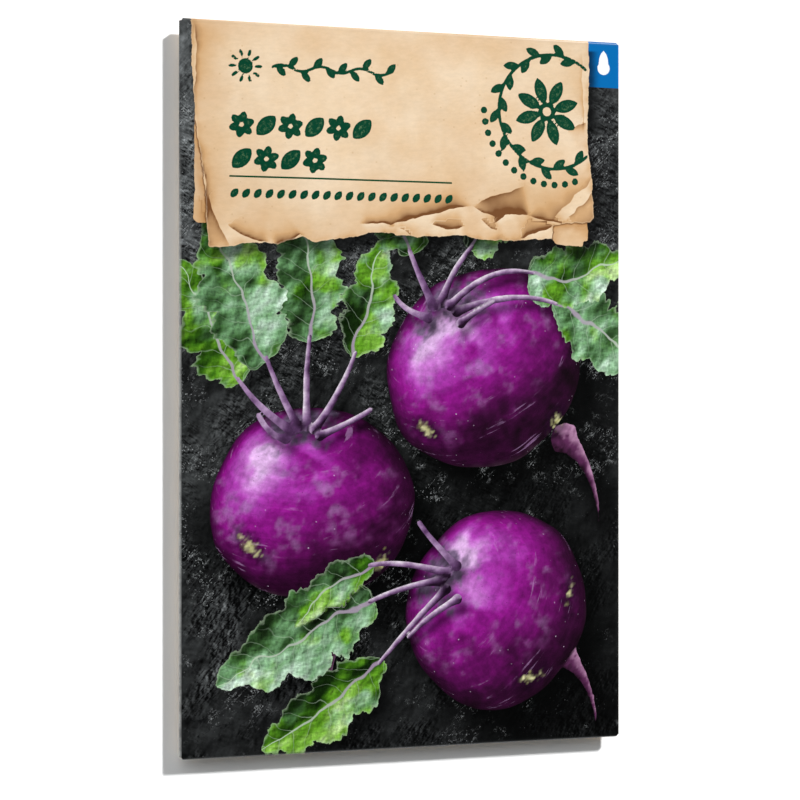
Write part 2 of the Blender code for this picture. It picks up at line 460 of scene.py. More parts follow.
def stem(start, bend, end, thick, thin, seed):
    t, side, length = along_curve(start, bend, end)
    wide = (thick + (thin - thick) * t) * (1 + 0.2 * cloud(6, seed)) + 0.45 * np.exp(-t * length / 1.2)
    across = np.clip(side / wide, -1, 1)
    run = np.array(end) - np.array(start)
    left = np.array((-run[1], run[0])) / np.hypot(*run)
    lit = 0.50 + 0.70 * across * (left @ LIGHT[:2]) + 0.3 * cloud(5, seed + 1)
    lit -= 0.35 * np.exp(-t * length / 2.0)
    stems.draw(np.abs(side) - wide, ramp(lit, STEM), shadow=0.6)


print("a stem of", len(STEM), "colours")

# %% [markdown]
# Blade and stem are drawn as one sprig, because the midrib goes on in the direction of the stem.

# %% Leaves
def leaf(layer, start, bend, end, width, seed, fresh, teeth=8, gloom=0.22):
    """A blade from start to end. fresh is 0 for waxy and 1 for bright green, and gloom darkens its base."""
    at = int((start[1] - BOTTOM) / CELL), int((start[0] - LEFT) / CELL)
    warps = [cloud(9, seed + i, 3) for i in (0, 1)]
    x, y = [axis + 1.7 * (warp - warp[at]) for axis, warp in zip((X, Y), warps)]
    t, side, length = along_curve(start, bend, end, x, y)
    which = np.sign(side)
    lobe = np.abs(np.sin(np.pi * (t * teeth * 0.5 + 0.25 * which + 0.2))) ** 0.7
    tooth = np.abs(((t * teeth * 2.1 + 0.3 * which) % 1) - 0.4)
    half = width * np.sin(np.pi * np.clip(t, 0, 1) ** 0.8) ** 0.62
    half *= 0.72 + 0.30 * lobe - 0.22 * tooth
    edge = (np.abs(side) - half) * 0.8 + 0.35 * cloud(2, seed + 2, 2)
    height = 1.2 * np.sin(side / width * 2.0 + 5 * t + seed) + 3.0 * cloud(12, seed + 3, 3)
    height += 0.55 * cloud(4, seed + 4, 2.4) + 0.75 * np.hypot(side, 0.6)
    lit = 0.60 + 0.46 * slope_light(height) + 0.22 * cloud(8, seed + 5) - gloom * (1 - t)
    hue = soft(cloud(10, seed + 6) + 0.9 * fresh - 0.45, -0.25, 0.25)
    colour = blend(ramp(lit, WAXY), ramp(lit - 0.05, FRESH), hue)
    rib = 0.30 * (1 - t) + 0.08
    along = (t * length + 0.8 * cloud(6, seed + 7)) / VEIN_GAP + seed
    layer.draw(edge, colour, np.stack([along, side, rib], -1), shadow=0.65)


def sprig(layer, pole, base, bend, joint, tip, width, seed, fresh=0.2, thick=0.75):
    """A stem from a crown to joint, and the leaf that goes on from there to tip."""
    bend, joint = np.array(bend), np.array(joint)
    stem(pole + base, bend, joint, thick, 0.38, seed)
    way = (joint - bend) / np.hypot(*(joint - bend))
    ahead = joint + way * 0.4 * np.hypot(*(tip - joint))
    leaf(layer, joint - way, ahead, np.array(tip), width, seed + 1, fresh)


print("side veins every", VEIN_GAP, "mm")

# %% [markdown]
# The lowest leaves are drawn first. Each crown also has short stalks, where leaves were cut off.

# %% Place the leaves
p1, p2, p3 = crowns
# layer, crown, base of the stem from it, bend, joint, tip, width of the leaf, seed, freshness
for row in ((low_leaves, p2, (-2.6, -1.2), (-30, -4), (-34, 2), (-46, 24), 7.0, 310, 0.9),
            (low_leaves, p2, (0.6, -0.4), (-21, 2), (-20, 10), (-22, 38), 7.5, 330, 0.2),
            (low_leaves, p1, (-0.6, -0.2), (9, 24), (13, 28), (22, 41), 6.5, 350, 0.8),
            (low_leaves, p1, (2.6, -2.0), (22, 20), (31, 17), (51, 3), 7.5, 370, 0.1),
            (low_leaves, p3, (0.2, -1.6), (0, -46), (-6, -53), (-29, -70), 6.5, 390, 0.9),
            (high_leaves, p2, (-1.2, -0.6), (-26, -1), (-28.5, 6), (-39, 34), 8.5, 410, 0.1),
            (high_leaves, p2, (2.2, -1.0), (-14, -1), (-11, 7), (-6, 29), 5.5, 430, 0.8),
            (high_leaves, p1, (-2.4, -1.0), (2, 22), (0, 27), (-8, 40), 6.0, 450, 0.2),
            (high_leaves, p1, (1.2, -0.8), (17, 25), (26, 23), (48, 27), 6.5, 470, 0.5),
            (high_leaves, p3, (-0.8, 0.2), (-1, -38), (-8, -41), (-38, -57), 8.5, 490, 0.1),
            (high_leaves, p3, (0.4, 1.6), (-2, -33), (-8, -34), (-23, -45), 4.0, 510, 0.6)):
    sprig(*row)
for number, (pole, base, bend, tip) in enumerate((
        (p2, (3.2, -2.4), (-11, -6), (-8, -4)), (p2, (-3.6, -3.0), (-28, -9), (-30, -5)),
        (p1, (3.4, -4.4), (13, 15), (17, 17)), (p1, (-3.4, -3.4), (-1, 15), (-3, 18)),
        (p3, (2.4, 3.0), (4, -29), (2, -26)), (p3, (2.6, -3.6), (4, -44), (0, -48)))):
    stem(pole + base, bend, tip, 0.6, 0.45, 60 + 3 * number)
greens = np.minimum.reduce([low_leaves.edge, high_leaves.edge, stems.edge])
print("leaves and stems cover", f"{(greens < 0).mean():.0%} of the front")

# %% [markdown]
# ## Kraft paper
#
# The kraft piece lies over the top of the picture. It is two sheets of brown paper, and the lower
# one shows at the left and at the lower right. Their outlines are a few corners joined by straight
# lines, with a little noise for the tear.

# %% Kraft outlines
UPPER_SHEET = [(-43.0, 76), (-42.6, 62), (-42.0, 51), (-40.6, 42), (-39.9, 35.8), (-39.8, 31.4),
               (-39.4, 27.0), (-36.8, 26.8), (-31.9, 27.8), (-26.1, 27.7), (-21.4, 29.2), (-19.3, 28.2),
               (-11.8, 29.2), (-9.7, 29.6), (-7.3, 30.3), (-3.3, 30.2), (-2.7, 29.8), (4.4, 29.7),
               (11.7, 30.3), (14.6, 29.4), (21.4, 29.4), (30.1, 29.9), (30.2, 32.5), (33.5, 33.2),
               (38.5, 33.3), (39.3, 34.6), (39.0, 38.4), (38.8, 43.0), (38.1, 48.1), (38.0, 52),
               (38.4, 60.2), (38.2, 76)]
LOWER_SHEET = [(-42.1, 56), (-42.1, 37.6), (-42.4, 32.2), (-41.8, 31.4), (-36, 31.2), (-30, 34), (25, 36),
               (29.6, 30.5), (30.8, 28.8), (36.6, 28.6), (36.9, 29.7), (37.8, 29.8), (37.8, 36), (30, 56)]


def outline(points):
    """The distance to a closed line through the points, negative inside."""
    far, within = np.full(X.shape, 1e9), np.zeros(X.shape, bool)
    for (x0, y0), (x1, y1) in zip(points, points[1:] + points[:1], strict=True):
        far = np.minimum(far, from_line(x0, y0, x1, y1))
        if y0 != y1:
            within ^= ((y0 > Y) != (y1 > Y)) & (X < x0 + (x1 - x0) * (Y - y0) / (y1 - y0))
    return np.where(within, -far, far)


kraft_edge = outline(UPPER_SHEET) + 0.28 * cloud(2.5, 71, 2)
under_edge = outline(LOWER_SHEET) + 0.2 * cloud(3, 73, 2)
fields |= {"kraft_edge": kraft_edge, "under_edge": under_edge}
print("kraft covers", f"{(kraft_edge < 0).mean():.0%} of the front")

# %% [markdown]
# A crease darkens the paper on one side of a bent line, with a thin core and a broad halo, and
# leaves a pale lip on the other. Both sides' shades are worked out at every point, and the shader
# picks one by the side that it is on, so that the line between them stays sharp.

# %% Creases
# start, bend, end, depth, width in mm, and 1 where the dark side is on the left of the line
CREASES = (
    ((-5.0, 30.9), (5.5, 34.8), (13.4, 36.0), 1.00, 1.15, 1),
    ((13.0, 36.2), (16.5, 32.9), (22.5, 35.4), 0.60, 0.70, 1),
    ((17.6, 32.2), (21.0, 35.0), (25.4, 34.6), 1.00, 1.50, 1),
    ((24.8, 34.8), (28.0, 33.0), (33.0, 33.2), 0.75, 0.60, 1),
    ((23.0, 29.5), (27.0, 30.6), (30.6, 32.8), 1.00, 1.20, 1),
    ((3.8, 32.8), (7.0, 30.6), (12.0, 31.9), 0.95, 0.90, 1),
    ((13.2, 35.9), (17.4, 38.4), (25.0, 40.2), 0.40, 2.20, -1),
    ((-10.2, 31.8), (-6.4, 32.2), (-2.6, 31.4), 1.00, 0.55, 1),
    ((-39.9, 38.0), (-38.3, 31.6), (-35.0, 26.6), 0.40, 1.60, -1),
    ((-36.4, 31.6), (-33.0, 28.2), (-27.5, 28.0), 0.65, 1.0, 1),
    ((-27.5, 27.4), (-23.5, 28.2), (-21.2, 29.8), 0.95, 0.60, 1),
    ((29.5, 32.4), (34.0, 37.4), (39.6, 43.2), 0.30, 3.0, 1),
    ((32.6, 33.4), (36.4, 36.4), (39.4, 40.4), 0.42, 1.6, -1),
    ((-42.2, 70.0), (-41.0, 62.0), (-42.2, 53.0), 0.40, 1.0, 1),
    ((37.2, 68.0), (36.6, 60.0), (37.6, 50.0), 0.30, 0.8, -1),
    ((33.4, 51.4), (36.0, 53.0), (38.6, 53.6), 0.42, 1.0, -1),
    ((-41.4, 47.0), (-39.4, 38.0), (-40.0, 30.5), 0.55, 0.50, 1),
    ((-3.0, 31.8), (-1.0, 31.4), (0.6, 29.4), 0.50, 0.70, 1),
    ((14.8, 33.6), (17.2, 31.0), (18.8, 31.6), 0.55, 0.6, 1),
)


def crease_shade(side, deep, wide):
    """How much a crease darkens the paper: more than 0 on its dark side, and less on its lip."""
    core = 0.62 * np.exp(-np.abs(side) / (0.33 * wide)) + 0.38 * np.exp(-np.abs(side) / (2.6 * wide))
    return np.where(side > 0, deep * core, -0.25 * deep * np.exp(-np.abs(side) / (1.3 * wide)))


total = -0.16 * cloud(26, 75) - 0.07 * cloud(7, 76, 3.0)
total += 0.16 * soft(Y, 46, 30) * soft(X, 0, 30) * (1 + 2 * slope_light(1.2 * cloud(8, 77, 3.2)))
total += 0.20 * soft(Y, 46, 32) + 0.14 * soft(X, -33, -40) + 0.13 * soft(Y, 60, 69)
total += (0.26 + 0.5 * cloud(4, 78, 2.4)) * np.exp(-np.abs(kraft_edge) / 0.9)
near_side, near_pull = np.full(X.shape, FAR), np.zeros(X.shape)
near_dark, near_pale = np.zeros(X.shape), np.zeros(X.shape)
for number, (start, bend, end, deep, wide, flip) in enumerate(CREASES):
    wander = 0.5 * cloud(5, 100 + number, 2.4)
    t, side, _ = along_curve(start, bend, end, X + wander, Y - wander)
    side = side * flip
    deep = 1.9 * deep * soft(t, 0, 0.25) * soft(1 - t, 0, 0.22)
    total += crease_shade(side, deep, wide)
    pull = deep * np.exp(-np.abs(side) / wide)
    wins = pull > near_pull
    near_pull = np.where(wins, pull, near_pull)
    near_side = np.where(wins, side, near_side)
    other = crease_shade(-side, deep, wide) - crease_shade(side, deep, wide)
    near_dark = np.where(wins, np.where(side > 0, 0, other), near_dark)
    near_pale = np.where(wins, np.where(side > 0, other, 0), near_pale)
fields |= {"crease_side": near_side, "crease_dark": total + near_dark, "crease_pale": total + near_pale}
print(len(CREASES), "creases")

# %% [markdown]
# ## Slate and shadows
#
# The slate is dark grey, paler at the upper left and nearly black at the lower right. Smooth
# patches lie between rough ones, and the shader draws the chips, so only their strength is worked
# out here. Everything on the slate throws a soft shadow down to its right.

# %% Slate and shadows
slate_shade = light_left(roots.edge, 3.6, -4.6, -5.0, 3.5, 0.80)
slate_shade *= light_left(roots.edge, 8, -9, -8.0, 6, 0.45)
slate_shade *= light_left(greens, 1.6, -2.0, -1.8, 1.2, 0.65)
slate_shade *= 1 - 0.6 * np.exp(-np.maximum(roots.edge, 0) / 2.0)
stain = cloud(22, 51, 2.2)
fields["slate_level"] = np.exp(-3.86 - 0.0125 * X + 0.0140 * Y + 0.9 * stain + 0.3 * soft(-X - Y, 40, 90))
fields["slate_level"] *= slate_shade
rough = soft(cloud(15, 52, 2.6), -0.18, 0.22)
upper = soft(Y, -40, 0)
fields["slate_chips"] = 1.0 + 9.0 * rough * upper
fields["slate_ridges"] = 1.0 + 13.0 * soft(cloud(17, 53, 2.6), -0.2, 0.3) * (1 - 0.7 * upper)
dusty = cloud(8, 54, 2.2) + 0.25 * rough - 0.30 * soft(X - Y, -10, 75)
fields["slate_dust"] = soft(dusty, 0.05, 0.50) * (1 - 0.45 * soft(X - Y, 0, 80))

root_shade = light_left(greens, 1.0, -1.6, -1.4, 0.8, 0.68)
for (centre, radius, *_), below in ((TURNIPS[0], TURNIPS[1]), (TURNIPS[1], TURNIPS[2])):
    gap = np.hypot(X - centre[0] - 3, Y - centre[1] + 4) - radius
    on_next = np.hypot(X - below[0][0], Y - below[0][1]) < below[1] + 2
    root_shade *= np.where(on_next, 1 - 0.5 * soft(-gap, -6, 0), 1)
roots.colour *= root_shade[..., None]
fields["kraft_cast"] = light_left(np.minimum(kraft_edge, under_edge), 0.9, -1.6, -1.8, 0.7, 0.80)
for name, layer in {"root": roots, "low_leaf": low_leaves, "high_leaf": high_leaves, "stem": stems}.items():
    for part in ("edge", "colour", "place"):
        fields[f"{name}_{part}"] = getattr(layer, part)
print("darkest slate shadow", round(float(slate_shade.min()), 2))

# %% [markdown]
# ## Green ink
#
# Plain garden figures stand on the kraft paper: a sun and a vine, two rows of blossoms and leaves,
# a thin rule, a row of seeds, and a wreath round a flower with beads along it. Each is a few
# distances joined with a minimum, which is a union of shapes.

# %% Ink figures
def disc(x, y, radius):
    return np.hypot(X - x, Y - y) - radius


def petal(x, y, heading, length, width):
    """A pointed oval from (x, y) along heading: where two discs overlap."""
    radius = (length ** 2 + width ** 2) / (4 * width)
    c, s = math.cos(heading), math.sin(heading)
    mid, off = (x + c * length / 2, y + s * length / 2), radius - width / 2
    return np.maximum(*[disc(mid[0] - way * s * off, mid[1] + way * c * off, radius) for way in (1, -1)])


def blossom(x, y, radius, petals, hole, width=0.58, lean=0.3):
    """Petals round a centre with a hole. hole and width are shares of the radius."""
    start = 1.7 * hole if width < 0.5 else 0.16
    shape = [petal(x + start * radius * math.cos(a), y + start * radius * math.sin(a), a,
                   radius * (1 - start), radius * width)
             for a in lean + np.arange(petals) * 2 * math.pi / petals]
    return np.maximum(np.minimum.reduce([*shape, disc(x, y, radius * 2 * hole)]), -disc(x, y, radius * hole))


def sun(x, y, size):
    rays = [from_line(x + size * 0.66 * math.cos(a), y + size * 0.66 * math.sin(a),
                      x + size * 0.92 * math.cos(a), y + size * 0.92 * math.sin(a)) - 0.31
            for a in np.arange(10) * math.pi / 5]
    return np.minimum.reduce([disc(x, y, size * 0.44), *rays])


def drop(x, y, size):
    """A round drop with a pointed top."""
    return np.minimum(disc(x, y, size * 0.64), petal(x, y - size * 0.5, math.pi / 2, size * 2.2, size * 0.95))


def vine(x, y, length, leaves):
    wave = np.abs(Y - y - 0.55 * np.sin((X - x) * 0.8)) - 0.30
    shapes = [np.maximum(wave, np.abs(X - x - length / 2) - length / 2)]
    for i in range(leaves):
        at = x + length * (i + 0.4) / leaves
        way = 1 if i % 2 else -1
        shapes.append(petal(at, y + 0.55 * math.sin((at - x) * 0.8), 0.85 * way, 2.7, 1.35))
    return np.minimum.reduce(shapes)


print("a disc of 1 mm radius holds", int((disc(0, 0, 1) < 0).sum()), "points")

# %% [markdown]
# The figures are set out like a label: a large line on top, two rows, a rule and a fine row, with
# the wreath on the right. The drop stands in the blue tab.

# %% Set out the figures
RING = (30.4, 55.3)
RING_RADIUS, BEADS_RADIUS = 11.4, 14.6
INK_END = 38.0                  # the wreath stops where the kraft paper does
LEAN = 0.62                     # of its leaves from the twig, in radians


def wreath(x, y, radius, leaves):
    """A thin twig bent to a ring, with leaves that lean out and in by turns."""
    shapes = [np.maximum(np.abs(disc(x, y, radius)) - 0.32, X - INK_END)]
    for i, a in enumerate(np.arange(leaves) * 2 * math.pi / leaves):
        at_x, at_y = x + radius * math.cos(a), y + radius * math.sin(a)
        if at_x < INK_END - 1.6:
            shapes.append(petal(at_x, at_y, a + math.pi / 2 + (LEAN if i % 2 else -LEAN), 3.3, 1.6))
    return np.minimum.reduce(shapes)


ring = wreath(*RING, RING_RADIUS, 28)
ROW_LEFT, ROW_STEP = -33.1, 4.75
figures = []
for line, (y, many) in enumerate(((50.2, 6), (43.8, 4))):
    for i, x in enumerate(ROW_LEFT + ROW_STEP * np.arange(many)):
        blade = petal(x - 1.85, y - 1.85, math.pi / 4, 5.2, 3.0)
        figures.append(blade if (i + line) % 2 else blossom(x, y, 2.6, 6, 0.18))
beads = [disc(RING[0] + BEADS_RADIUS * math.cos(a), RING[1] + BEADS_RADIUS * math.sin(a), 0.70)
         for a in np.radians(np.arange(181, 298, 9))]
seeds_row = [petal(x, 36.3, 0.9, 2.2, 1.35) for x in np.arange(-35.2, 7.6, 2.25)]
fields["ink_edge"] = np.minimum.reduce([
    sun(-32.3, 61.4, 3.3), vine(-27.2, 61.4, 24.5, 10), *figures, ring, *beads, *seeds_row,
    blossom(RING[0] - 1.2, RING[1], 7.0, 8, 0.13, 0.36), drop(41.6, 64.6, 2.1)])
print("ink covers", f"{(fields['ink_edge'] < 0).mean():.1%} of the front")

# %% [markdown]
# ## The print goes on the sheet
#
# Every field of the canvas becomes an attribute of the sheet's points. The flat places are kept as
# a UV map in millimetres, so a finish can use them after the sheet is folded. The wings repeat the
# front's border, because the picture runs a little way round each fold.

# %% Store the print on the sheet
column = np.clip(np.rint((places[:, 0] - LEFT) / (RIGHT - LEFT) * COLUMNS).astype(int), 0, COLUMNS)
row = np.clip(np.rint((places[:, 1] - BOTTOM) / (TOP - BOTTOM) * ROWS).astype(int), 0, ROWS)
for name, field in fields.items():
    values = np.asarray(field, np.float32)[row, column]
    if values.ndim == 1:
        sheet.attributes.new(name, "FLOAT", "POINT").data.foreach_set("value", values)
    else:
        sheet.attributes.new(name, "FLOAT_VECTOR", "POINT").data.foreach_set("vector", values.ravel())

corners = read(sheet.loops, "vertex_index")
sheet.uv_layers.new(name="flat").data.foreach_set("uv", places[corners][:, :2].ravel())
print(len(fields), "fields stored on", len(places), "points")

# %% [markdown]
# ## Folding
#
# Each wing runs round its fold and then lies under the front, following the back's shape. The front
# swells over the seeds and the back settles until it lies flat in the middle. Paper can't stretch
# into a pillow, so it buckles a little, and low noise stands in for that.

# %% Fold the sheet
def fullness(x, y):
    """0 along the folded edges and 1 where the packet is fullest, a little below its middle."""
    u = np.minimum(1, np.abs(x) / (WIDTH / 2))
    v = np.clip(y / (LENGTH / 2), -1, 1)
    return np.minimum(1, (1 - u * u) * (1 - v * v) * (1 - LOW_FILL * v))


def front_height(x, y):
    return EDGE_HEIGHT + FRONT_SWELL * (1 - (1 - fullness(x, y)) ** SWELL_POWER)


def back_height(x, y):
    settled = np.minimum(1, fullness(x, y) / FLAT_FILL)
    drop = EDGE_HEIGHT - 2 * PITCH - PAPER / 2
    return EDGE_HEIGHT - 2 * PITCH - drop * (1 - (1 - settled) ** 2)


BUCKLE = 0.25                   # mm that the paper bends from its smooth shape, at most about
LAYERS = {"glue flap": 1, "back": 0, "bottom flap": -1, "top flap": -1}


def fold(flat):
    x, y = flat[:, 0].astype(float), flat[:, 1].astype(float)
    made = np.stack([x, y, front_height(x, y)], -1)
    loose = np.clip(fullness(x, y) * 3, 0, 1)
    made[:, 2] += BUCKLE * loose * (cloud(22, 5, 3.5) - 0.55)[row, column]
    for name, (axis, outward, radius, *_) in WINGS.items():
        line = SIDES[axis, outward]
        past = (flat[:, axis] - line) * outward
        wing = past > 0.001
        angle = np.minimum(past / radius, math.pi)
        run = np.maximum(past - math.pi * radius, 0)
        made[wing, axis] = (line + outward * (radius * np.sin(angle) - run))[wing]
        turned = EDGE_HEIGHT - radius * (1 - np.cos(angle))
        lying = back_height(made[:, 0], made[:, 1]) + LAYERS[name] * PITCH
        made[wing, 2] = np.where(run > 0, lying, turned)[wing]
    return made


sheet.vertices.foreach_set("co", (fold(places) * MM).astype(np.float32).ravel())
sheet.update()
print("folded sheet is", round(float(np.ptp([v.co.z for v in sheet.vertices]) / MM), 2), "mm thick")

# %% [markdown]
# ## Patterns for the finishes
#
# The finishes share a few small patterns: cloudy stains, specks, thin streaks, lit bumps, a colour
# that fills an outline, and the grain of the paper. All scales are in spots per millimetre, because
# the flat map is in millimetres, so a scale of 2 makes spots of half a millimetre.

# %% Patterns
def stains(tree, place, scale, low, high, least=0.0, most=1.0, detail=5.0, rough=0.6):
    """Cloudy noise, turned from the range low to high into the range least to most."""
    noise = add(tree, "TexNoise", {"Vector": place, "Scale": scale, "Detail": detail, "Roughness": rough})
    return add(tree, "MapRange", {0: noise, 1: low, 2: high, 3: least, 4: most}, **SMOOTH)


def specks(tree, place, scale, size, most=1.0, blur=0.06):
    """Round specks, one in each cell of a Voronoi pattern. size is in cells."""
    cells = add(tree, "TexVoronoi", {"Vector": place, "Scale": scale})
    return add(tree, "MapRange", {0: cells, 1: size, 2: size + blur, 3: most, 4: 0.0})


def grain_along(tree, place, turn, stretch):
    """The place, drawn out along a direction, so that any pattern looked up there runs that way."""
    return add(tree, "Mapping", {"Vector": place, "Rotation": (0.0, 0.0, turn), "Scale": (stretch, 1.0, 1.0)},
               vector_type="TEXTURE")


def streaks(tree, place, scale, width):
    """Thin curly lines, where noise crosses its middle value."""
    noise = add(tree, "TexNoise", {"Vector": place, "Scale": scale, "Detail": 4.0, "Roughness": 0.6})
    return add(tree, "Math", {0: noise, 1: 0.5, 2: width}, operation="COMPARE")


def relief(tree, place, scale, strength, step=0.2, detail=5.0, rough=0.65, ledge=0.0):
    """About 1, brighter on the upper left of each bump: noise less itself moved towards the light.
    With a ledge the bumps become flat steps of that height."""
    aside = add(tree, "VectorMath", {0: place, 1: (-step, step, 0.0)}, operation="ADD")
    look = {"Scale": scale, "Detail": detail, "Roughness": rough}
    here, there = [add(tree, "TexNoise", {"Vector": spot, **look}) for spot in (place, aside)]
    if ledge:
        here, there = [add(tree, "Math", {0: rise, 1: ledge}, operation="SNAP") for rise in (here, there)]
    lift = add(tree, "Math", {0: here, 1: there}, operation="SUBTRACT")
    lift = add(tree, "Math", {0: lift, 1: strength, 2: 1.0}, operation="MULTIPLY_ADD")
    return add(tree, "Math", {0: lift, 1: 0.12}, operation="MAXIMUM")


print("the front is", round(RIGHT - LEFT, 1), "units wide in these patterns")

# %% [markdown]
# A shape's colour is laid on inside its outline, and noise can fray the outline first. The paper has
# a fine grain of its own.

# %% Outlines and grain
def printed(tree, picture, edge, colour, blur=0.07):
    """Prints the colour over the picture, inside an outline."""
    share = add(tree, "MapRange", {0: edge, 1: -blur, 2: blur, 3: 1.0, 4: 0.0}, **SMOOTH)
    return add(tree, "Mix", {0: share, 6: picture, 7: colour}, **OVER)


GRAIN = 3.2                     # bumps of the coated paper in a millimetre


def tooth(tree, place, strength):
    """The grain of coated paper. Its bumps are about 0.05 mm across, too fine to show, so they are
    drawn at 0.3 mm."""
    grain = add(tree, "TexNoise", {"Vector": place, "Scale": GRAIN, "Detail": 3.0})
    return add(tree, "Bump", {"Strength": strength, "Distance": 0.04 * MM, "Height": grain})


def frayed(tree, place, edge, scale, depth):
    """An edge made uneven by noise of a depth in mm."""
    noise = add(tree, "TexNoise", {"Vector": place, "Scale": scale, "Detail": 4.0, "Roughness": 0.65})
    fray = add(tree, "Math", {0: noise, 1: 0.5}, operation="SUBTRACT")
    return add(tree, "Math", {0: fray, 1: depth, 2: edge}, operation="MULTIPLY_ADD")


print("the paper's bumps are", round(1 / GRAIN, 2), "mm across")

# %% [markdown]
# ## The printed slate
#
# Real slate splits into thin leaves, so its face has low ledges with a lit or a dark edge, chips,
# pale scratches and grit. Chips about 1 mm across are right for a picture of this scale.

# %% Slate
def slate_colour(tree, flat, field):
    level = field["slate_level"]
    for name, turn in (("slate_chips", -0.6), ("slate_ridges", 0.85)):
        drawn = grain_along(tree, flat, turn, 1.7)
        for shade in (relief(tree, drawn, 0.7, field[name], step=0.22),
                      relief(tree, drawn, 0.15, field[name], 0.22, 6.0, 0.6, ledge=0.055)):
            level = add(tree, "Math", {0: level, 1: shade}, **PRODUCT)
    level = add(tree, "Math", {0: level, 1: relief(tree, flat, 0.2, 5.0, 0.5, 3.0, 0.5)}, **PRODUCT)
    grey = add(tree, "Mix", {0: 1.0, 6: "#f6fdff", 7: level}, **TIMES)

    curls = add(tree, "Math", {0: streaks(tree, flat, 0.9, 0.012),
                               1: stains(tree, flat, 0.5, 0.50, 0.58)}, **PRODUCT)
    slants = streaks(tree, grain_along(tree, flat, 0.8, 5.0), 0.5, 0.006)
    slants = add(tree, "Math", {0: slants, 1: stains(tree, flat, 0.14, 0.46, 0.60)}, **PRODUCT)
    marks = add(tree, "Math", {0: curls, 1: slants}, operation="MAXIMUM")
    marks = add(tree, "Math", {0: marks, 1: specks(tree, flat, 1.3, 0.09, blur=0.12)}, operation="MAXIMUM")
    for share in (field["slate_dust"], stains(tree, flat, 1.5, 0.35, 0.65, 0.25, 0.9)):
        marks = add(tree, "Math", {0: marks, 1: share}, **PRODUCT)
    grit = specks(tree, flat, 1.9, 0.05, 0.5, 0.12)
    for share in (stains(tree, flat, 0.2, 0.5, 0.65), stains(tree, flat, 2.0, 0.45, 0.6)):
        grit = add(tree, "Math", {0: grit, 1: share}, **PRODUCT)
    marks = add(tree, "Math", {0: marks, 1: grit}, operation="MAXIMUM")
    cracks = add(tree, "Math", {0: streaks(tree, grain_along(tree, flat, 0.35, 2.0), 0.16, 0.004),
                                1: stains(tree, flat, 0.1, 0.48, 0.56, 0.0, 0.75)}, **PRODUCT)
    grey = add(tree, "Mix", {0: cracks, 6: grey, 7: "#0b0d0e"}, **OVER)
    pale = add(tree, "Mix", {0: 0.75, 6: grey, 7: "#c3c7c8"}, **OVER)
    return add(tree, "Mix", {0: marks, 6: grey, 7: pale}, **OVER)


print("slate is up to", round(float(fields["slate_level"].max()), 3), "bright, before its chips")

# %% [markdown]
# ## Skins and leaves
#
# A turnip's skin has fine rings round its axis, pores and pale flecks. A leaf has side veins that
# leave its midrib at a slant, and puckers between them. Both are looked up in the shape's own
# coordinates, so they follow it.

# %% Skins and leaves
def root_colour(tree, field):
    place = field["root_place"]
    skin = field["root_colour"]
    rings = add(tree, "VectorMath", {0: place, 1: (0.12, 0.12, 1.3)}, **PRODUCT)
    for shade in (stains(tree, place, 0.7, 0.25, 0.75, 0.75, 1.25, 6.0, 0.7),
                  stains(tree, rings, 0.6, 0.3, 0.7, 0.84, 1.16)):
        skin = add(tree, "Mix", {0: 1.0, 6: skin, 7: shade}, **TIMES)
    lines = add(tree, "Math", {0: stains(tree, rings, 0.6, 0.60, 0.66, 0.0, 0.3),
                               1: stains(tree, place, 0.15, 0.48, 0.60)}, **PRODUCT)
    dots = add(tree, "Math", {0: specks(tree, place, 0.5, 0.02, 0.8, 0.08),
                              1: stains(tree, place, 0.25, 0.5, 0.62)}, **PRODUCT)
    for share, hue in ((lines, "#c79ccf"), (dots, "#e8d2ea"),
                       (specks(tree, place, 0.8, 0.05, 0.5), "#3a0a35")):
        skin = add(tree, "Mix", {0: share, 6: skin, 7: hue}, **OVER)
    return skin


def leaf_colour(tree, flat, field, name):
    along, side, rib = [add(tree, "SeparateXYZ", {0: field[name + "_place"]}, axis) for axis in "XYZ"]
    across = add(tree, "Math", {0: side}, operation="ABSOLUTE")
    slant = add(tree, "Math", {0: across, 1: -0.75 / VEIN_GAP, 2: along}, operation="MULTIPLY_ADD")
    vein = add(tree, "Math", {0: slant, 1: 0.5}, operation="PINGPONG")
    flesh = field[name + "_colour"]
    pucker = add(tree, "MapRange", {0: vein, 1: 0.03, 2: 0.40, 3: 0.80, 4: 1.10}, **SMOOTH)
    for shade in (pucker, relief(tree, flat, 0.5, 3.2, 0.3), stains(tree, flat, 1.6, 0.3, 0.7, 0.9, 1.1)):
        flesh = add(tree, "Mix", {0: 1.0, 6: flesh, 7: shade}, **TIMES)
    fine = add(tree, "MapRange", {0: vein, 1: 0.008, 2: 0.04, 3: 1.0, 4: 0.0}, **SMOOTH)
    faint = add(tree, "MapRange", {0: across, 1: 0.0, 2: 6.0, 3: 0.40, 4: 0.04})
    veins = add(tree, "Math", {0: fine, 1: faint}, **PRODUCT)
    rim = add(tree, "MapRange", {0: field[name + "_edge"], 1: -0.45, 2: 0.0, 3: 0.0, 4: 0.35})
    ratio = add(tree, "Math", {0: across, 1: rib}, operation="DIVIDE")
    midrib = add(tree, "MapRange", {0: ratio, 1: 0.5, 2: 1.3, 3: 0.85, 4: 0.0}, **SMOOTH)
    aged = add(tree, "MapRange", {0: rib, 1: 0.12, 2: 0.36})
    ribs = add(tree, "Mix", {0: aged, 6: "#b9d0b0", 7: "#a58eaa"}, **OVER)
    for share, hue in ((rim, "#c2d8b6"), (veins, "#b5cdaf"), (midrib, ribs)):
        flesh = add(tree, "Mix", {0: share, 6: flesh, 7: hue}, **OVER)
    return flesh


print("shapes with their own places:", [name for name in fields if name.endswith("_place")])

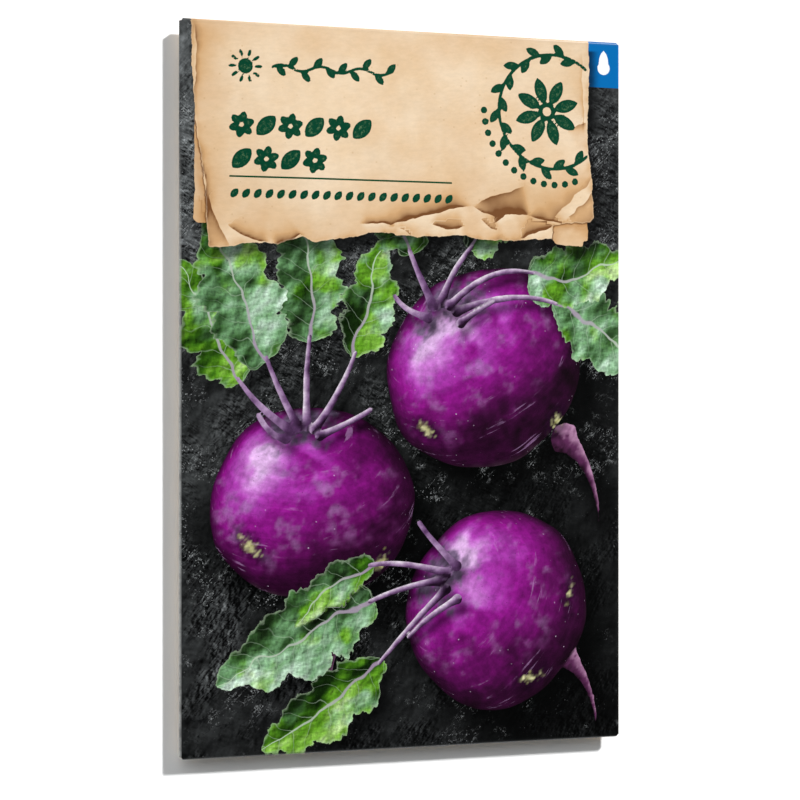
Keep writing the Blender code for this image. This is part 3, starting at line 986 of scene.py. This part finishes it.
# %% [markdown]
# ## Printed kraft paper and ink
#
# Kraft paper is a warm brown with fibres, flecks and stains. Shade on it turns golden first and
# brown later, so it is laid on in two steps. The lower sheet is in the shadow of the upper one.
# Its fibres are about 0.03 mm wide, too fine to show, so they are drawn almost a millimetre long
# and wide. The green ink is worn away in small spots, as from an old wooden block.

# %% Kraft paper and ink
def kraft_colour(tree, flat, field):
    kraft = add(tree, "Mix", {0: stains(tree, flat, 0.09, 0.3, 0.7), 6: "#e4c7a3", 7: "#ead2b4"}, **OVER)
    fibre = stains(tree, grain_along(tree, flat, 0.1, 2.2), 1.2, 0.3, 0.7, 0.95, 1.04, rough=0.7)
    kraft = add(tree, "Mix", {0: 1.0, 6: kraft, 7: fibre}, **TIMES)
    shade = add(tree, "MapRange", {0: field["crease_side"], 1: -0.06, 2: 0.06, 3: field["crease_pale"],
                                   4: field["crease_dark"]})
    for low, high, most, hue in ((0.0, -0.4, 0.6, "#f9e6ca"), (0.0, 0.50, 0.66, "#c68f4c"),
                                 (0.45, 1.15, 0.90, "#64340f")):
        share = add(tree, "MapRange", {0: shade, 1: low, 2: high, 4: most})
        kraft = add(tree, "Mix", {0: share, 6: kraft, 7: hue}, **OVER)
    return add(tree, "Mix", {0: specks(tree, flat, 0.45, 0.05, 0.30), 6: kraft, 7: "#b58a5a"}, **OVER)


def kraft_over(tree, flat, field, picture):
    kraft = kraft_colour(tree, flat, field)
    upper = frayed(tree, flat, field["kraft_edge"], 1.1, 0.30)
    under = frayed(tree, flat, field["under_edge"], 1.1, 0.25)
    below = kraft
    for high, most, hue in ((2.4, 0.62, "#b98752"), (0.40, 0.85, "#5f3515")):
        share = add(tree, "MapRange", {0: upper, 1: 0.0, 2: high, 3: most, 4: 0.0}, **SMOOTH)
        below = add(tree, "Mix", {0: share, 6: below, 7: hue}, **OVER)
    picture = printed(tree, picture, under, below)
    lip = add(tree, "MapRange", {0: upper, 1: -0.30, 2: -0.05, 3: 0.0, 4: 0.22})
    torn = add(tree, "Mix", {0: lip, 6: kraft, 7: "#f3dfc0"}, **OVER)
    return printed(tree, picture, upper, torn)


RULE_HIGH, RULE_MIDDLE = 40.35, -13.3
RULE_HALF, RULE_THICK = 22.2, 0.34


def ink_over(tree, flat, x, y, field, picture, in_tab):
    edge = frayed(tree, flat, field["ink_edge"], 1.8, 0.16)
    deep = add(tree, "MapRange", {0: edge, 1: -0.7, 2: -0.25, 3: 1.0, 4: 0.0})
    spots = stains(tree, flat, 1.3, 0.50, 0.64, 0.0, 0.6, rough=0.8)
    wear_and_highlight = add(tree, "Math", {0: spots, 1: deep}, **PRODUCT)
    green = add(tree, "Mix", {0: wear_and_highlight, 6: "#03402a", 7: "#6d8f66"}, **OVER)
    ink = add(tree, "Mix", {0: in_tab, 6: green, 7: "#f7fafc"}, **OVER)
    picture = printed(tree, picture, edge, ink, 0.05)
    line = add(tree, "Math", {0: y, 1: RULE_HIGH, 2: RULE_THICK / 2}, operation="COMPARE")
    span = add(tree, "Math", {0: x, 1: RULE_MIDDLE, 2: RULE_HALF}, operation="COMPARE")
    rule = add(tree, "Math", {0: line, 1: span}, **PRODUCT)
    return add(tree, "Mix", {0: rule, 6: picture, 7: "#124428"}, **OVER)


print("rule of", 2 * RULE_HALF, "x", RULE_THICK, "mm")

# %% [markdown]
# ## The whole front
#
# Real packets are offset printed on a thin coated stock. All the layers are ink on one smooth
# surface, so only the colour changes and the gloss stays the same. Paper's index is about 1.5. A
# painted highlight, a pale line, runs along the left fold and fades out above its middle, where the
# lamps leave the fold dark. Painted shade darkens the top fold, which faces the lamps. The lamps
# are strong enough to turn the board under the packet white, as in the photograph, so all the ink
# is a seventh darker than it looks there.

# %% Front print
INK_DEPTH = 0.86
TAB_LEFT, TAB_LOW = 38.3, 60.7


def front_print():
    made, tree = new_material("offset-printed coated paper")
    flat = add(tree, "UVMap", uv_map="flat")
    x, y = [add(tree, "SeparateXYZ", {0: flat}, axis) for axis in "XY"]
    field = {name: add(tree, "Attribute", out="Fac" if values.ndim == 2 else "Vector", attribute_name=name)
             for name, values in fields.items()}
    picture = slate_colour(tree, flat, field)
    picture = printed(tree, picture, field["root_edge"], root_colour(tree, field))
    for name in ("low_leaf", "high_leaf"):
        edge = frayed(tree, flat, field[name + "_edge"], 0.9, 0.9)
        picture = printed(tree, picture, edge, leaf_colour(tree, flat, field, name))
    bark = stains(tree, flat, 1.2, 0.3, 0.7, 0.8, 1.2)
    stalk = add(tree, "Mix", {0: 1.0, 6: field["stem_colour"], 7: bark}, **TIMES)
    picture = printed(tree, picture, field["stem_edge"], stalk)
    right, high = [add(tree, "Math", {0: at, 1: line}, operation="GREATER_THAN")
                   for at, line in ((x, TAB_LEFT), (y, TAB_LOW))]
    in_tab = add(tree, "Math", {0: right, 1: high}, **PRODUCT)
    picture = add(tree, "Mix", {0: in_tab, 6: picture, 7: "#006bb2"}, **OVER)
    picture = add(tree, "Mix", {0: 1.0, 6: picture, 7: field["kraft_cast"]}, **TIMES)
    picture = kraft_over(tree, flat, field, picture)
    picture = ink_over(tree, flat, x, y, field, picture, in_tab)
    # painted shade: the print on the top fold, which faces the lamps, is darkened to two thirds
    painted_top_fold_shade = add(tree, "MapRange", {0: y, 1: TOP - 0.5, 2: TOP + 0.4, 3: 1.0, 4: 0.66})
    picture = add(tree, "Mix", {0: 1.0, 6: picture, 7: painted_top_fold_shade}, **TIMES)
    # painted highlight: a pale grey line along the left fold, fading out above its middle, where the lamps
    # leave the fold dark
    wear_and_highlight = add(tree, "MapRange", {0: x, 1: LEFT - 0.25, 2: LEFT + 0.10, 3: 0.8, 4: 0.0})
    lower = add(tree, "MapRange", {0: y, 1: 50.0, 2: 20.0})
    for share in (stains(tree, flat, 0.5, 0.3, 0.6, 0.5), lower):
        wear_and_highlight = add(tree, "Math", {0: wear_and_highlight, 1: share}, **PRODUCT)
    picture = add(tree, "Mix", {0: wear_and_highlight, 6: picture, 7: "#c4c4c2"}, **OVER)
    picture = add(tree, "Mix", {0: 1.0, 6: picture, 7: (INK_DEPTH,) * 3}, **TIMES)
    shader = add(tree, "BsdfPrincipled", {"Base Color": picture, "Roughness": 0.2, "IOR": 1.5,
                                          "Normal": tooth(tree, flat, 0.05)})
    add(tree, "OutputMaterial", {"Surface": shader})
    return made


front = front_print()
print("the front takes", len(front.node_tree.nodes), "nodes")

# %% [markdown]
# The back wasn't photographed. It is the same stock with a plain pale kraft tint and a sowing
# calendar of twelve boxes, as such packets have. The inside is bare white paper, and so is the cut
# edge of the sheet, which shows where the flaps end.

# %% Back, inside and cut edge
BACK_MIDDLE = LEFT - math.pi * BACK_FOLD - (RIGHT - LEFT - 0.6) / 2     # in the flat sheet
BOX_WIDE, BOX_HIGH = 12.0, 9.0
CALENDAR_LOW = -36.0


def back_print():
    made, tree = new_material("tinted coated paper")
    flat = add(tree, "UVMap", uv_map="flat")
    tint = add(tree, "Mix", {0: stains(tree, flat, 0.06, 0.3, 0.7), 6: "#cfb18a", 7: "#d9c09c"}, **OVER)
    tint = add(tree, "Mix", {0: 1.0, 6: tint, 7: stains(tree, flat, 1.4, 0.3, 0.7, 0.95, 1.03)}, **TIMES)
    corner = (-BACK_MIDDLE + 3 * BOX_WIDE, -CALENDAR_LOW, 0.0)
    place = add(tree, "VectorMath", {0: flat, 1: corner}, operation="ADD")
    boxes = add(tree, "TexBrick", {"Vector": place, "Color1": (0.0, 0.0, 0.0), "Color2": (0.0, 0.0, 0.0),
                                   "Mortar": (1.0, 1.0, 1.0), "Scale": 1.0, "Mortar Size": 0.2,
                                   "Brick Width": BOX_WIDE, "Row Height": BOX_HIGH}, offset=0.0)
    for axis, middle, half in (("X", 3 * BOX_WIDE, 3 * BOX_WIDE), ("Y", BOX_HIGH, BOX_HIGH)):
        at = add(tree, "SeparateXYZ", {0: place}, axis)
        near = add(tree, "Math", {0: at, 1: middle, 2: half + 0.25}, operation="COMPARE")
        boxes = add(tree, "Math", {0: boxes, 1: near}, **PRODUCT)
    tint = add(tree, "Mix", {0: boxes, 6: tint, 7: "#124428"}, **OVER)
    shader = add(tree, "BsdfPrincipled", {"Base Color": tint, "Roughness": 0.4, "IOR": 1.5,
                                          "Normal": tooth(tree, flat, 0.08)})
    add(tree, "OutputMaterial", {"Surface": shader})
    return made


def bare_paper(name, pale, dark):
    made, tree = new_material(name)
    flat = add(tree, "UVMap", uv_map="flat")
    pulp = add(tree, "Mix", {0: stains(tree, flat, 1.8, 0.3, 0.7), 6: dark, 7: pale}, **OVER)
    shader = add(tree, "BsdfPrincipled", {"Base Color": pulp, "Roughness": 0.75, "IOR": 1.5})
    add(tree, "OutputMaterial", {"Surface": shader})
    return made


inner = bare_paper("uncoated side of paper", "#f3efe6", "#e6e0d4")
cut = bare_paper("cut edge of paper", "#ddd6c6", "#c8beac")
finishes = [front, inner, cut, back_print(), inner, cut]
print("finishes:", [m.name for m in finishes])

# %% [markdown]
# ## From a surface to real paper
#
# Once it is thick, the sheet has a second skin behind the front. It carries no print and can't be
# seen, so its small faces are merged into blocks.

# %% Merge the hidden skin
FRONT_SLOT, INSIDE, RIM, BACK_SLOT = 0, 1, 2, 3
BLOCK = 10                      # cells of the hidden skin along one side of a merged face
MARGIN = 5                      # cells along the folds that are left as they are


def merge_inside(mesh):
    """Swaps the hidden skin behind the front for one face per block. A block at the border keeps
    every point that it shares with the cells left outside."""
    flat_x, flat_y = places[:, 0], places[:, 1]
    front = (flat_x > LEFT - 0.01) & (flat_x < RIGHT + 0.01) & (np.abs(flat_y) < TOP + 0.01)
    index = np.zeros((ROWS + 1, COLUMNS + 1), int)
    index[row[front], column[front]] = np.flatnonzero(front)
    middle = int(index[ROWS // 2, COLUMNS // 2])
    if mesh.vertices[middle + len(places)].co.z < mesh.vertices[middle].co.z:
        index += len(places)
    r_marks = sorted({*range(MARGIN, ROWS - MARGIN - 3, BLOCK), ROWS - MARGIN})
    c_marks = sorted({*range(MARGIN, COLUMNS - MARGIN - 3, BLOCK), COLUMNS - MARGIN})
    bm = bmesh.new()
    bm.from_mesh(mesh)
    bm.verts.ensure_lookup_table()
    flat_map = bm.loops.layers.uv["flat"]
    rings = []
    for r0, r1 in zip(r_marks, r_marks[1:]):
        for c0, c1 in zip(c_marks, c_marks[1:]):
            ring = [(r0, c) for c in (range(c0, c1) if r0 == r_marks[0] else [c0])]
            ring += [(r, c1) for r in (range(r0, r1) if c1 == c_marks[-1] else [r0])]
            ring += [(r1, c) for c in (range(c1, c0, -1) if r1 == r_marks[-1] else [c1])]
            ring += [(r, c0) for r in (range(r1, r0, -1) if c0 == c_marks[0] else [r1])]
            rings.append([(bm.verts[index[spot]], spot) for spot in reversed(ring)])
    gone = [bm.verts[index[r, c]] for r in range(r_marks[0] + 1, r_marks[-1])
            for c in range(c_marks[0] + 1, c_marks[-1]) if not (r in r_marks and c in c_marks)]
    bmesh.ops.delete(bm, geom=gone, context="VERTS")
    for ring in rings:
        face = bm.faces.new([vert for vert, _ in ring])
        face.material_index = INSIDE
        for loop, (_, (r, c)) in zip(face.loops, ring, strict=True):
            loop[flat_map].uv = (xs[c], ys[r])
    bm.to_mesh(mesh)
    bm.free()


print("hidden faces are merged in blocks of", BLOCK, "x", BLOCK)

# %% [markdown]
# Solidify gives the folded sheet its thickness. Its material offsets put the bare paper on the
# inside and the cut edge on the rim, and the print stays on the outside. It works on a draft, and
# the result is kept as a plain mesh that can still be changed.

# %% Thicken the sheet
def placed(name, data):
    """A new object in the scene."""
    made = bpy.data.objects.new(name, data)
    bpy.context.scene.collection.objects.link(made)
    return made


def thick_sheet():
    on_back = read(sheet.attributes["on_back"].data, "value")
    for finish in finishes:
        sheet.materials.append(finish)
    sheet.polygons.foreach_set("material_index", (on_back * BACK_SLOT).astype(np.int32))
    draft = placed("envelope_draft", sheet)
    shell = draft.modifiers.new("paper", "SOLIDIFY")
    shell.thickness = PAPER * MM
    shell.offset = 0
    shell.material_offset = INSIDE
    shell.material_offset_rim = RIM
    made = bpy.data.meshes.new_from_object(draft.evaluated_get(bpy.context.evaluated_depsgraph_get()))
    bpy.data.objects.remove(draft, do_unlink=True)
    made.name = "envelope_paper"
    merge_inside(made)
    return made


paper = thick_sheet()
print("thick sheet of", len(paper.polygons), "faces")

# %% [markdown]
# The export paints each finish into one square, so the mesh needs a map that fits there, beside the
# flat one that the finishes use. Then the sheet takes the place of the plain solid.

# %% Map in one square
def bake_map(mesh):
    """Gives the front two thirds of the square, the back most of the rest, and bare paper a corner."""
    spots = read(mesh.uv_layers["flat"].data, "uv", np.float32, 2)
    slot = np.repeat(read(mesh.polygons, "material_index"), read(mesh.polygons, "loop_total"))
    made = np.empty_like(spots)
    front = slot == FRONT_SLOT
    made[front] = (spots[front] + (WIDTH / 2 + 1, LENGTH / 2 + 1)) / (LENGTH + 2)
    low, high = spots.min(0), spots.max(0)
    small = 0.33 / (high - low).max()
    outer = slot == BACK_SLOT
    made[outer] = (spots[outer] - low) * small + (0.66, 0.65)
    bare = ~front & ~outer
    made[bare] = (spots[bare] - low) * small + (0.66, 0.3)
    mesh.uv_layers.new(name="OFBake", do_init=False).data.foreach_set("uv", made.ravel())


bake_map(paper)
paper.shade_smooth()
paper.set_sharp_from_angle(angle=math.radians(40))
envelope = placed("folded_envelope", paper)
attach(envelope, "root")
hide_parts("envelope")
paper.calc_loop_triangles()
print("envelope has", len(paper.loop_triangles), "triangles")

# %% [markdown]
# ## Seeds
#
# The seeds stay as the solids have them, since they lie still and out of sight. Their coat is dull
# brown and finely netted, in cells of about a tenth of a millimetre.

# %% Seed coat
def seed_coat():
    made, tree = new_material("dry seed coat")
    place = add(tree, "TexCoord", out="Object")
    brown = add(tree, "Mix", {0: stains(tree, place, 900.0, 0.3, 0.7), 6: "#4a2a22", 7: "#7a4c3a"}, **OVER)
    net = add(tree, "TexVoronoi", {"Vector": place, "Scale": 9000.0}, feature="DISTANCE_TO_EDGE")
    rise = add(tree, "Bump", {"Strength": 0.4, "Distance": 0.00002, "Height": net})
    shader = add(tree, "BsdfPrincipled", {"Base Color": brown, "Roughness": 0.55, "Normal": rise})
    add(tree, "OutputMaterial", {"Surface": shader})
    return made


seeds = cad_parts["seeds"]
seeds.data.materials.clear()
seeds.data.materials.append(seed_coat())

# %% [markdown]
# ## Floor, light and camera
#
# The packet lies on a plain white surface, which is lit until it turns quite white. One large
# square of matt board is enough, because the camera looks down on it.

# %% Floor
FLOOR_SIZE = 3.0


def white_floor():
    bm = bmesh.new()
    bmesh.ops.create_grid(bm, x_segments=1, y_segments=1, size=FLOOR_SIZE / 2)
    mesh = bpy.data.meshes.new("floor")
    bm.to_mesh(mesh)
    bm.free()
    made, tree = new_material("matt white board")
    shader = add(tree, "BsdfPrincipled", {"Base Color": "#fbfbfb", "Roughness": 0.9})
    add(tree, "OutputMaterial", {"Surface": shader})
    mesh.materials.append(made)
    placed("floor", mesh)


white_floor()
print("board of", FLOOR_SIZE, "m")

# %% [markdown]
# A lamp to the upper right throws the narrow shadow on the left and below. A weak one to the upper
# left and pale light from the sides fill it in.

# %% Light
KEY_WAY = (2.8, 3.5, 3.0)       # to the lamp: the shadow of an edge 3 mm up is 2.8 mm to the left
FILL_WAY = (-2.0, 3.5, 3.0)     # this one brightens the left band, but not the one at the foot


def lamp(name, way, power, spread):
    data = bpy.data.lights.new(name, "SUN")
    data.energy = power
    data.angle = math.radians(spread)
    placed(name, data).rotation_euler = Vector(way).to_track_quat("Z", "Y").to_euler()


def side_light(level, fall, lean):
    """Cool pale light from all sides that fades to nothing overhead, so a level print stays deep.
    It is stronger from the way that lean points, and the shadow there is paler."""
    sky = bpy.data.worlds.new("pale studio")
    sky.use_nodes = True
    tree = sky.node_tree
    way = add(tree, "TexCoord")
    up = add(tree, "SeparateXYZ", {0: way}, "Z")
    low = add(tree, "MapRange", {0: up, 1: 0.0, 2: 1.0, 3: 1.0, 4: 0.0})
    faded = add(tree, "Math", {0: low, 1: fall}, operation="POWER")
    towards = add(tree, "VectorMath", {0: way, 1: lean}, "Value", operation="DOT_PRODUCT")
    leaning = add(tree, "Math", {0: towards, 1: level, 2: level}, operation="MULTIPLY_ADD")
    strength = add(tree, "Math", {0: faded, 1: leaning}, **PRODUCT)
    tree.links.new(strength, tree.nodes["Background"].inputs["Strength"])
    tree.nodes["Background"].inputs["Color"].default_value = (*linear("#edf3f5"), 1)
    bpy.context.scene.world = sky


lamp("key", KEY_WAY, 4.9, 5)
lamp("fill", FILL_WAY, 1.2, 60)
side_light(0.9, 1.5, (-0.4, 0.0, 0.0))
bpy.context.scene.view_settings.view_transform = "Standard"

# %% [markdown]
# The level edges of the packet draw together to the right, so the photograph was taken from the
# left of the packet's middle. The turn and the lens come from those edges and the packet's size.

# %% Camera
TURN = math.radians(17.77)
LENS_PX = 2049.5                # focal length in pixels of an 800 pixel frame
FRAME_PX = 800
CAMERA_PLACE = (-123.2, -2.1, 383.2)

camera_data = bpy.data.cameras.new("camera")
camera_data.sensor_width = 36
camera_data.lens = LENS_PX * camera_data.sensor_width / FRAME_PX
camera = placed("camera", camera_data)
camera.location = Vector(CAMERA_PLACE) * MM
camera.rotation_euler = (0, -TURN, 0)
bpy.context.scene.camera = camera
print(f"lens {camera_data.lens:.1f} mm")
